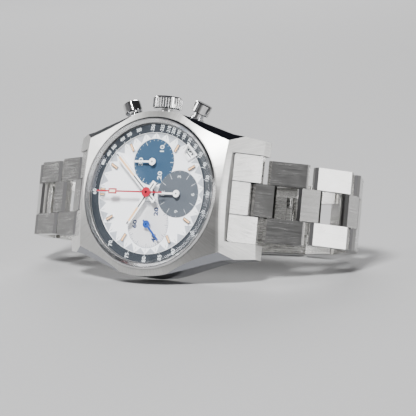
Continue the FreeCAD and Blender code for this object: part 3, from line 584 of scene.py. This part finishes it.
def small_counter_marks(marks, face, centre, count, covered):
    """Ticks all round except where the hour counter covers this one, near the angle covered."""
    for i in range(count):
        a = 360.0 * i / count
        x, z = polar(5.0, a)
        near_hour = math.dist((x + centre[0], z + centre[1]), COUNTERS["hour"]) < COUNTER_R + 0.3
        if near_hour and abs(a - covered) < 60:
            continue
        inner, width = (4.72, 0.05) if i % 5 else (4.25, 0.075)
        marks.bar(5.1, inner, width, a, face, PRINT_T, centre)


def counters():
    for key, (floor_colour, rise, print_colour) in COUNTER_PAINT.items():
        centre = COUNTERS[key]
        floor = Print()
        floor.disc(COUNTER_R, COUNTER_FLOOR_Y - rise, rise - 0.002, centre, bevel=0.015)
        finish = azure_finish(f"{key}_counter", centre, floor_colour)
        floor.piece(f"{key}_counter_floor", finish, "case", "dial_silver")
        face = COUNTER_FLOOR_Y - rise - PRINT_T
        marks = Print()
        radius, size, stretch, weight = 3.45, 1.45, 1.3, 0.02
        if key == "hour":
            hour_counter_marks(marks, face, centre)
            radius, size, stretch = 3.85, 1.15, 1.15
        elif key == "minute":
            small_counter_marks(marks, face, centre, 30, 135.0)
        else:
            # painted shadow: a dark ring round the seconds counter's edge stands for the shadow of its recess
            # wall
            marks.band(COUNTER_R, COUNTER_R - 0.07, face, PRINT_T, centre)
            small_counter_marks(marks, face, centre, 60, 225.0)
            weight = 0.06
        for words, angle in COUNTER_FIGURES[key]:
            x, z = polar(radius, angle)
            spot = (x + centre[0], z + centre[1])
            marks.text(words, size, spot, READS_ACROSS, face, PRINT_T, stretch, weight)
        ink = enamel(f"{key}_counter_print", print_colour, 0.42, 0.04)
        marks.piece(f"{key}_counter_figures", ink, "case", "white_lacquer")


def lume(name):
    return enamel(name, (0.78, 0.47, 0.25), 0.7, 0.05, coat=0.0, scale=5000.0)


def markers():
    """Cream strips on the polished bars; each bar's clockwise side is a near-black polished strip, a painted
    shade for its bevel.
    """
    top = DIAL_Y - 0.35
    side_offset, middle_r = 0.28, 11.6
    shift = math.degrees(side_offset / middle_r)
    strips, light, dark = Print(), Print(), Print()
    for hour in MARKER_HOURS:
        a = 30.0 * hour
        strips.bar(12.45, 10.75, 0.40, a, top - 0.03, 0.03, bevel=0.012)
        light.bar(12.5, 10.7, 0.10, a - shift, top - 0.02, 0.02, bevel=0.008)
        # painted shade: a near-black strip on each bar's clockwise side
        dark.bar(12.5, 10.7, 0.11, a + shift, top - 0.02, 0.02, bevel=0.008)
    for z in (-0.6, 0.6):
        outline = [(-13.1, z - 0.13), (-13.1, z + 0.13), (-12.0, z + 0.13), (-12.0, z - 0.13)]
        strips.slab(outline, top - 0.03, 0.03, 0.012)
    strips.piece("marker_lume", lume("lume_cream"), "case", "white_lacquer")
    light.piece("marker_rails", polished("marker_steel", (0.80, 0.80, 0.80)), "case", "hand_silver")
    dark.piece("marker_painted_shade_bevels", polished("marker_painted_shade_steel", (0.10, 0.12, 0.17)), "case", "hand_silver")


def date_print():
    """The date ring's printed plate lies close behind the window."""
    plate_white = enamel("date_plate_white", (0.86, 0.87, 0.87), 0.5, 0.02)
    date_black = enamel("date_black", (0.012, 0.016, 0.025), 0.5, 0.05)
    face = DIAL_Y + 0.43
    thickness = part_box("date_ring")[0].y / MM - face
    plate = Print()
    plate.band(14.4, 11.5, face, thickness, start=DATE_ANGLE - 9.0, end=DATE_ANGLE + 9.0)
    plate.piece("date_plate", plate_white, "date_ring", "date_white")
    figures = Print()
    x, z = polar(12.86, DATE_ANGLE)
    figures.text("15", 2.55, (x - 0.3, z), DATE_ANGLE - 180.0, face - PRINT_T, PRINT_T, 0.56, 0.08)
    figures.piece("date_figures", date_black, "date_ring", "track_black")


# ---------------------------------------------------------------- hands
def face_of(node):
    """The plane of a hand's face."""
    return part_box(node)[0].y / MM


def main_hand_trim(name, angle, reach, split):
    """A dark slot, dark point and pale filling on a main hand: split is where the filling starts."""
    slot_black = enamel(f"{name}_slot_black", (0.02, 0.024, 0.03), 0.35, 0.05)
    node = f"{name}_hand"
    face = face_of(node)
    dark = Print()
    dark.bar(split, 1.0, 0.28, angle, face - 0.012, 0.012)
    dark.bar(-1.0, -2.4, 0.28, angle, face - 0.012, 0.012)
    dark.bar(reach - 0.05, reach - 0.85, 0.42, angle, face - 0.014, 0.014, tip=0.14)
    dark.piece(f"{name}_hand_slot", slot_black, node, "track_black")
    fill = Print()
    fill.bar(reach - 0.9, split + 0.05, 0.46, angle, face - 0.03, 0.03, bevel=0.012)
    fill.piece(f"{name}_hand_lume", lume(f"{name}_lume"), node, "white_lacquer")


def red_hand_window():
    cream = enamel("window_cream", (0.86, 0.76, 0.62), 0.6, 0.03)
    window = Print()
    outline = [(-9.55, -0.3), (-9.55, 0.3), (-8.05, 0.3), (-8.05, -0.3)]
    window.slab(outline, face_of("chronograph_hand") - 0.02, 0.02, 0.01)
    window.piece("red_hand_window", cream, "chronograph_hand", "white_lacquer")


def pivot_cap(name, body, node, centre, radius, colour, rise=0.03, bevel=0.015, sides=32):
    """The end of the arbor that carries a hand."""
    cap = Print()
    cap.disc(radius, face_of(node) - rise, rise, centre, bevel=bevel, sides=sides)
    cap.piece(f"{name}_pivot_cap", polished(f"{name}_pivot_steel", colour), body, "polished_steel")


def hand_trim():
    main_hand_trim("minute", MINUTE_ANGLE, 12.1, 5.2)
    main_hand_trim("hour", HOUR_ANGLE, 8.6, 4.1)
    red_hand_window()
    for key in ("minute", "hour"):
        pivot_cap(key, f"{key}_counter", COUNTER_HANDS[key], COUNTERS[key], 0.2, (0.35, 0.36, 0.37))
    seconds_hand = COUNTER_HANDS["seconds"]
    pivot_cap("seconds", "small_seconds", seconds_hand, COUNTERS["seconds"], 0.17, (0.02, 0.05, 0.16))
    blade_blue = enamel("blade_blue", (0.012, 0.055, 0.26), 0.34, 0.06)
    blade_y = face_of(seconds_hand) - 0.025
    blade = Print()
    blade.bar(-1.2, 3.95, 0.44, SECONDS_ANGLE, blade_y, 0.025, COUNTERS["seconds"], 0.012)
    blade.piece("seconds_hand_blade", blade_blue, "small_seconds", "hand_blue")
    red_hand, brown_steel = "chronograph_hand", (0.2, 0.17, 0.17)
    pivot_cap("centre", red_hand, red_hand, (0.0, 0.0), 0.24, brown_steel, 0.05, 0.02, 40)


def hand_finish(name):
    """White lacquer on the faces of the main hands; their cut sides are painted near-black as polished steel
    in shade.
    """
    t = Tree(name)
    drift = t.noise(t.place(), 1500.0, 4.0, 0.6)
    side = t.ramp(t.math("ABSOLUTE", t.split(t.normal())[1]), 0.6, 0.8, 1.0, 0.0)
    face = t.mix_color(t.ramp(drift, 0.3, 0.7), (0.88, 0.885, 0.89), (0.93, 0.935, 0.94))
    # painted shade: the cut sides are near-black
    base = t.mix_color(side, face, (0.05, 0.055, 0.065))
    rough = t.ramp(drift, 0.3, 0.7, 0.2, 0.3)
    return t.set(base=base, metal=t.math("MULTIPLY", side, 0.9), rough=rough, coat=0.4, coat_rough=0.06,
                 normal=t.bump(drift, 0.001 * MM, 0.3))


# ---------------------------------------------------------------- crystal and movement finishes
def clear_finish(name, facing, edge_r=None):
    """Clear crystal with a thin reflection on its outer skin, which faces along Y by the sign of facing.

    Beyond edge_r its ground edge is faintly milky.
    """
    t = Tree(name)
    t.tree.nodes.remove(t.shader)
    clear = t.node("ShaderNodeBsdfTransparent")
    gloss = t.node("ShaderNodeBsdfGlossy")
    gloss.inputs["Color"].default_value = (0.9, 0.92, 1.0, 1.0)
    smear = t.noise(t.place(), 300.0, 3.0, 0.5)
    t.link(t.ramp(smear, 0.3, 0.7, 0.015, 0.04), gloss.inputs["Roughness"])
    fresnel = t.node("ShaderNodeFresnel")
    fresnel.inputs["IOR"].default_value = 1.36
    x, _, z = t.split(t.place())
    radius = t.vector("LENGTH", t.combine(x, 0.0, z))
    nx, ny, nz = t.split(t.normal())
    outward = t.math("DIVIDE", t.math("ADD", t.math("MULTIPLY", nx, x), t.math("MULTIPLY", nz, z)), radius)
    skin = t.math("GREATER_THAN", t.math("MAXIMUM", outward, t.math("MULTIPLY", ny, facing)), 0.2)
    from_outside = t.math("SUBTRACT", 1.0, t.node("ShaderNodeNewGeometry").outputs["Backfacing"])
    seen_skin = t.math("MULTIPLY", skin, from_outside)
    share = t.math("MULTIPLY", t.math("MULTIPLY", fresnel.outputs[0], 0.45), seen_skin)
    surface = t.node("ShaderNodeMixShader")
    t.link(share, surface.inputs[0])
    t.link(clear.outputs[0], surface.inputs[1])
    t.link(gloss.outputs[0], surface.inputs[2])
    if edge_r:
        milk = t.node("ShaderNodeBsdfPrincipled")
        milk.inputs["Base Color"].default_value = (0.75, 0.78, 0.8, 1.0)
        milk.inputs["Roughness"].default_value = 0.2
        blend = t.node("ShaderNodeMixShader")
        t.link(t.ramp(radius, edge_r * MM, (edge_r + 0.1) * MM, 0.0, 0.08), blend.inputs[0])
        t.link(surface.outputs[0], blend.inputs[1])
        t.link(milk.outputs[0], blend.inputs[2])
        surface = blend
    t.link(surface.outputs[0], t.tree.nodes["Material Output"].inputs["Surface"])
    return t.material


def striped(name, tint=(0.62, 0.62, 0.60), width=1.6):
    """Broad straight decorative stripes with fine grain, as on movement bridges."""
    t = Tree(name)
    x, y, z = t.split(t.place())
    along = t.math("MULTIPLY", t.math("ADD", x, z), 0.7071)
    across = t.math("MULTIPLY", t.math("SUBTRACT", x, z), 0.7071)
    wave = t.math("ABSOLUTE", t.math("SINE", t.math("MULTIPLY", across, math.pi / (width * MM))))
    grain = t.noise(t.combine(t.math("MULTIPLY", along, 0.1), across, y), 9000.0, 2.0)
    shade = t.ramp(wave, 0.0, 1.0, 0.82, 1.08)
    colour = t.gray(shade, tint)
    height = t.math("ADD", wave, t.math("MULTIPLY", grain, 0.3))
    rough = t.ramp(grain, 0.3, 0.7, 0.18, 0.32)
    return t.set(base=colour, metal=1.0, rough=rough, normal=t.bump(height, 0.01 * MM, 0.5))


def circular(name, centre, tint, pitch=0.05, rough=0.25):
    """Metal turned on a lathe: fine circles round an axis."""
    t = Tree(name)
    x, _, z = t.split(t.place())
    off_x, off_z = t.math("SUBTRACT", x, centre[0]), t.math("SUBTRACT", z, centre[1])
    radius = t.vector("LENGTH", t.combine(off_x, 0.0, off_z))
    lines = t.noise(t.combine(radius, 0.0, 0.0), 1.0 / (pitch * MM), 3.0, 0.7)
    wear = t.noise(t.place(), 500.0, 3.0)
    shade = t.ramp(lines, 0.3, 0.7, 0.86, 1.08)
    colour = t.gray(shade, tint)
    uneven = t.ramp(wear, 0.3, 0.7, -0.03, 0.03)
    rough_value = t.math("ADD", t.ramp(lines, 0.3, 0.7, rough - 0.06, rough + 0.08), uneven)
    return t.set(base=colour, metal=1.0, rough=rough_value, normal=t.bump(lines, 0.004 * MM, 0.5))


def centre_of(node):
    low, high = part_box(node)
    return (low.x + high.x) / 2, (low.z + high.z) / 2


def rubber():
    t = Tree("seal_rubber")
    speck = t.noise(t.place(), 4000.0, 4.0)
    base = t.mix_color(speck, (0.02, 0.02, 0.022), (0.05, 0.05, 0.052))
    return t.set(base=base, rough=t.ramp(speck, 0.3, 0.7, 0.6, 0.8), normal=t.bump(speck, 0.01 * MM, 0.4))


def paint_all():
    paint("case_middle", case_finish())
    paint("bezel", polished("bezel_steel", (0.78, 0.78, 0.775), 0.11, 0.18))
    paint("crown", polished("crown_steel", (0.76, 0.76, 0.755), 0.06, 0.14))
    for node in ("pusher_start", "pusher_reset", "case_tubes", "winding_stem"):
        paint(node, polished(f"{node}_steel", (0.77, 0.77, 0.765)))
    paint("end_links", end_link_finish())
    paint("spring_bars", polished("bar_steel", (0.6, 0.6, 0.59), 0.15, 0.25))
    paint_links()
    # painted shade: the clasp blades seen inside the clasp, and a little the cover, get darker steel
    for node, painted_shade_lightness in (("clasp_inner_blade", 0.55), ("clasp_middle_blade", 0.55), ("clasp_cover", 0.85)):
        paint(node, straight_brushed(f"{node}_steel", 0.0, True, STEEL, 0.26, painted_shade_lightness))
    paint("case_back", circular("back_steel", (0.0, 0.0), (0.70, 0.70, 0.69), 0.06, 0.22))
    paint("gaskets", rubber())
    paint("crystal", clear_finish("front_crystal", -1.0, 15.4))
    paint("back_crystal", clear_finish("rear_crystal", 1.0))
    paint("dial", dial_finish())
    paint("tachymeter_ring", enamel("track_slate", (0.014, 0.019, 0.026), 0.45, 0.08, coat=0.15))
    paint("date_frame", enamel("frame_white", (0.86, 0.87, 0.88), 0.25, 0.02))
    paint("date_ring", enamel("date_white", (0.85, 0.86, 0.86), 0.5, 0.02))
    for node in ("minute_hand", "hour_hand"):
        paint(node, hand_finish(f"{node}_white"))
    for node in ("minute_counter_hand", "hour_counter_hand"):
        paint(node, enamel(f"{node}_white", (0.88, 0.885, 0.89), 0.3, 0.02))
    paint("chronograph_hand", enamel("hand_red", (0.36, 0.008, 0.028), 0.34, 0.05))
    paint("small_seconds_hand", enamel("hand_blue", (0.012, 0.055, 0.26), 0.34, 0.06))
    paint("movement_bridges", striped("bridge_stripes"))
    paint("winding_rotor", striped("rotor_stripes", (0.58, 0.58, 0.57), 1.9))
    paint("main_plate", circular("plate_rhodium", (0.0, 0.0), (0.6, 0.6, 0.58), 0.12, 0.32))
    paint("movement_holder", circular("holder_steel", (0.0, 0.0), (0.5, 0.5, 0.49), 0.1, 0.35))
    paint("setting_lever", straight_brushed("lever_steel", 0.0, False))
    paint("bridge_screws", polished("screw_blue", (0.10, 0.16, 0.42), 0.1, 0.2))
    paint("rotor_post", polished("post_steel", (0.72, 0.72, 0.71)))
    for node in ("centre_wheel", "third_wheel", "fourth_wheel", "mainspring_barrel", "balance_wheel"):
        paint(node, circular(f"{node}_brass", centre_of(node), (0.72, 0.50, 0.22), 0.06, 0.24))


paint_all()
minute_track()
tachymeter_print()
counters()
markers()
date_print()
hand_trim()

# ---------------------------------------------------------------- camera
AZIMUTH, ELEVATION, ROLL = math.radians(32.574), math.radians(-5.99), math.radians(5.605)
DISTANCE, LENS_MM, SENSOR_MM = 0.481255, 188.6954, 36.0
AIM_RIGHT, AIM_DOWN = 0.0262236, 0.0067875      # turn from the dial's centre to the view's axis, as tangents


def add_camera():
    dial_centre = Vector((0.0, DIAL_Y * MM, 0.0))
    level = math.cos(ELEVATION)
    back = Vector((math.sin(AZIMUTH) * level, -math.cos(AZIMUTH) * level, math.sin(ELEVATION)))
    right = Vector((0, 0, 1)).cross(back).normalized()
    up = back.cross(right)
    right, up = right * math.cos(ROLL) + up * math.sin(ROLL), up * math.cos(ROLL) - right * math.sin(ROLL)
    forward = (-back + right * AIM_RIGHT - up * AIM_DOWN).normalized()
    side = forward.cross(up).normalized()
    top = side.cross(forward)
    data = bpy.data.cameras.new("camera")
    data.sensor_width = SENSOR_MM
    data.lens = LENS_MM
    data.clip_start, data.clip_end = 0.01, 50.0
    camera = bpy.data.objects.new("camera", data)
    bpy.context.scene.collection.objects.link(camera)
    turn = Matrix((side, top, -forward)).transposed().to_4x4()
    camera.matrix_world = Matrix.Translation(dial_centre + back * DISTANCE) @ turn
    bpy.context.scene.camera = camera


# ---------------------------------------------------------------- floor and light
def add_floor():
    """A pale floor under the case flank and the clasp, which rises in a far sweep all round the watch.

    It shows only from above.
    """
    case_low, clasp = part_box("case_middle")[0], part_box("clasp_cover")
    front = Vector((0.0, -1.2 * MM, case_low.z))
    rear = Vector((0.0, clasp[1].y, clasp[0].z))
    slope = math.atan2(rear.z - front.z, rear.y - front.y)
    flat_r, sweep_r, sides, sweep_rows = 1.3, 1.4, 96, 19
    profile = [(0.3, 0.0), (0.8, 0.0), (flat_r, 0.0)]
    for row in range(1, sweep_rows + 1):
        a = math.pi / 48 * row
        profile.append((flat_r + sweep_r * math.sin(a), sweep_r * (1 - math.cos(a))))
    turns = [2 * math.pi * i / sides for i in range(sides)]
    verts = [(r * math.cos(a), r * math.sin(a), h) for r, h in profile for a in turns]
    faces = [tuple(range(sides))]
    for row in range(len(profile) - 1):
        for i in range(sides):
            j = (i + 1) % sides
            faces.append((row * sides + i, (row + 1) * sides + i, (row + 1) * sides + j, row * sides + j))
    mesh = bpy.data.meshes.new("floor")
    mesh.from_pydata(verts, [], faces)
    for face in mesh.polygons:
        face.use_smooth = True
    floor = bpy.data.objects.new("floor", mesh)
    bpy.context.scene.collection.objects.link(floor)
    gap = Vector((0, 0, -0.05 * MM))
    floor.matrix_world = Matrix.Translation(front + gap) @ Matrix.Rotation(slope, 4, "X")
    t = Tree("floor_paper")
    grain = t.noise(t.place(), 900.0, 3.0)
    base = t.mix_color(grain, (0.235, 0.235, 0.24), (0.25, 0.25, 0.25))
    t.set(base=base, rough=0.85, normal=t.bump(grain, 0.02 * MM, 0.3))
    below = t.node("ShaderNodeMixShader")
    t.link(t.node("ShaderNodeNewGeometry").outputs["Backfacing"], below.inputs[0])
    t.link(t.shader.outputs[0], below.inputs[1])
    t.link(t.node("ShaderNodeBsdfTransparent").outputs[0], below.inputs[2])
    t.link(below.outputs[0], t.tree.nodes["Material Output"].inputs["Surface"])
    mesh.materials.append(t.material)


def area_light(name, direction, distance, size, power):
    """A soft box that faces the watch from this direction."""
    data = bpy.data.lights.new(name, "AREA")
    data.shape = "RECTANGLE"
    data.size, data.size_y = size
    data.energy = power
    light = bpy.data.objects.new(name, data)
    bpy.context.scene.collection.objects.link(light)
    direction = Vector(direction).normalized()
    turn = direction.to_track_quat("Z", "Y").to_matrix().to_4x4()
    light.matrix_world = Matrix.Translation(direction * distance) @ turn


def add_world():
    """Studio surroundings that are pale at the horizon and dark overhead."""
    world = bpy.data.worlds.new("studio")
    bpy.context.scene.world = world
    world.use_nodes = True
    nodes, links = world.node_tree.nodes, world.node_tree.links
    coordinates = nodes.new("ShaderNodeTexCoord")
    split = nodes.new("ShaderNodeSeparateXYZ")
    ramp = nodes.new("ShaderNodeValToRGB")
    links.new(coordinates.outputs["Generated"], split.inputs[0])
    shift = nodes.new("ShaderNodeMapRange")
    shift.inputs["From Min"].default_value, shift.inputs["From Max"].default_value = -1.0, 1.0
    links.new(split.outputs[2], shift.inputs["Value"])
    links.new(shift.outputs[0], ramp.inputs[0])
    ramp.color_ramp.elements[0].color = (0.45, 0.45, 0.46, 1.0)
    ramp.color_ramp.elements[1].color = (0.03, 0.032, 0.04, 1.0)
    for place, shade in ((0.50, 0.50), (0.56, 0.36), (0.63, 0.13), (0.80, 0.05)):
        ramp.color_ramp.elements.new(place).color = (shade, shade, shade * 1.05, 1.0)
    links.new(ramp.outputs[0], nodes["Background"].inputs["Color"])
    nodes["Background"].inputs["Strength"].default_value = 0.8


add_camera()
add_floor()
add_world()
area_light("key", (0.10, -0.80, 0.62), 1.8, (0.5, 0.4), 98.0)
area_light("facet", (0.95, -0.31, 0.07), 1.5, (0.55, 0.9), 12.0)
area_light("bevels", (0.74, 0.67, 0.14), 1.5, (0.45, 0.7), 10.0)
area_light("rear", (-0.55, 0.70, 0.75), 1.8, (0.9, 0.7), 34.0)
area_light("left", (-0.85, -0.38, 0.36), 1.6, (0.5, 0.9), 13.0)
